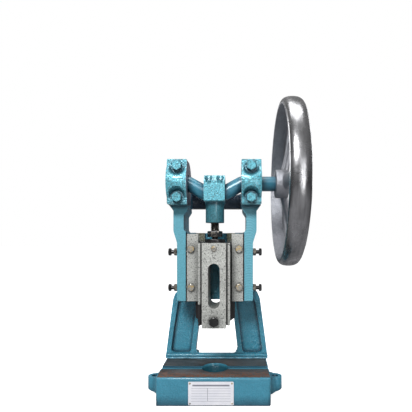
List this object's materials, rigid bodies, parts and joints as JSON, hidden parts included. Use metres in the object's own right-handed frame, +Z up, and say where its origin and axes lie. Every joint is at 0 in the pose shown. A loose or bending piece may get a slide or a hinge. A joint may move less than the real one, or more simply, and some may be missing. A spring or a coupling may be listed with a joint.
{
  "type": "crank arbor press",
  "caption": "Hand-wheel crank press: a bent crankshaft drives a ball-ended rod and a gibbed ram over a drilled cast base.",
  "frame": {"origin": "on the bench plane, on the common axis of the ram and the round hole through the base", "axes": "+X towards the handwheel, +Y to the back, +Z up along the ram's travel"},
  "size_m": [0.3057, 0.336, 0.6],
  "materials": {
    "base_paint": "gloss teal enamel on cast iron, bed machined bare",
    "frame_paint": "gloss teal enamel on cast iron",
    "hammer_paint": "teal hammered enamel",
    "shaft_paint": "gloss teal enamel on steel",
    "ground_iron": "scraped and ground, speckled",
    "bronze": "turned bronze",
    "zinc_steel": "zinc plated",
    "black_steel": "black oxide",
    "bright_steel": "ground",
    "wheel_iron": "polished rim, hub and spokes as cast",
    "plate_aluminium": "satin, blank"
  },
  "bodies": {
    "frame": {"base": "base_paint", "upright": "frame_paint", "base_bolts": "black_steel", "left_bearing_cap": "hammer_paint", "right_bearing_cap": "hammer_paint", "bearing_cap_bolts": "hammer_paint", "bearing_cap_washers": "hammer_paint", "left_front_bush": "bronze", "left_rear_bush": "bronze", "right_front_bush": "bronze", "right_rear_bush": "bronze", "left_gib": "ground_iron", "right_gib": "ground_iron", "gib_bolts": "zinc_steel", "gib_adjusting_screws": "black_steel", "gib_lock_nuts": "black_steel", "nameplate": "plate_aluminium", "nameplate_rivets": "zinc_steel"},
    "crank": {"crankshaft": "shaft_paint", "handwheel": "wheel_iron", "wheel_key": "bright_steel", "wheel_washer": "zinc_steel", "wheel_nut": "zinc_steel"},
    "rod": {"connecting_rod": "hammer_paint", "rod_cap": "hammer_paint", "rod_cap_bolts": "hammer_paint", "rod_lower_bush": "bronze", "rod_upper_bush": "bronze"},
    "screw": {"adjusting_screw": "black_steel"},
    "ram": {"ram": "ground_iron", "ball_seat": "bright_steel", "ball_retainer": "black_steel", "retainer_screws": "black_steel", "ball_lock_screw": "zinc_steel"},
    "clamp_bolt": {"shank_clamp_bolt": "black_steel"}
  },
  "joints": [
    {"name": "crank_turn", "type": "hinge", "parent": "frame", "child": "crank", "pos_m": [0, 0, 0.432], "axis": [1, 0, 0], "range_deg": [0, 180]},
    {"name": "rod_swing", "type": "hinge", "parent": "crank", "child": "rod", "pos_m": [0, 0, 0.414], "axis": [1, 0, 0], "range_deg": [-180, 0]},
    {"name": "ram_slide", "type": "slide", "parent": "frame", "child": "ram", "axis": [0, 0, 1], "range_m": [0, 0.036]},
    {"name": "screw_turn", "type": "hinge", "parent": "rod", "child": "screw", "pos_m": [0, 0, 0.33], "axis": [0, 0, 1], "range_deg": [-180, 180]},
    {"name": "clamp_bolt_turn", "type": "hinge", "parent": "ram", "child": "clamp_bolt", "pos_m": [0, -0.038, 0.1565], "axis": [0, 1, 0], "range_deg": [-180, 180]}
  ],
  "couplings": [
    {"joint": "rod_swing", "follows": "crank_turn", "ratio": -1},
    {"joint": "ram_slide", "follows": "crank_turn", "m_per_rad": 0.011459}
  ]
}
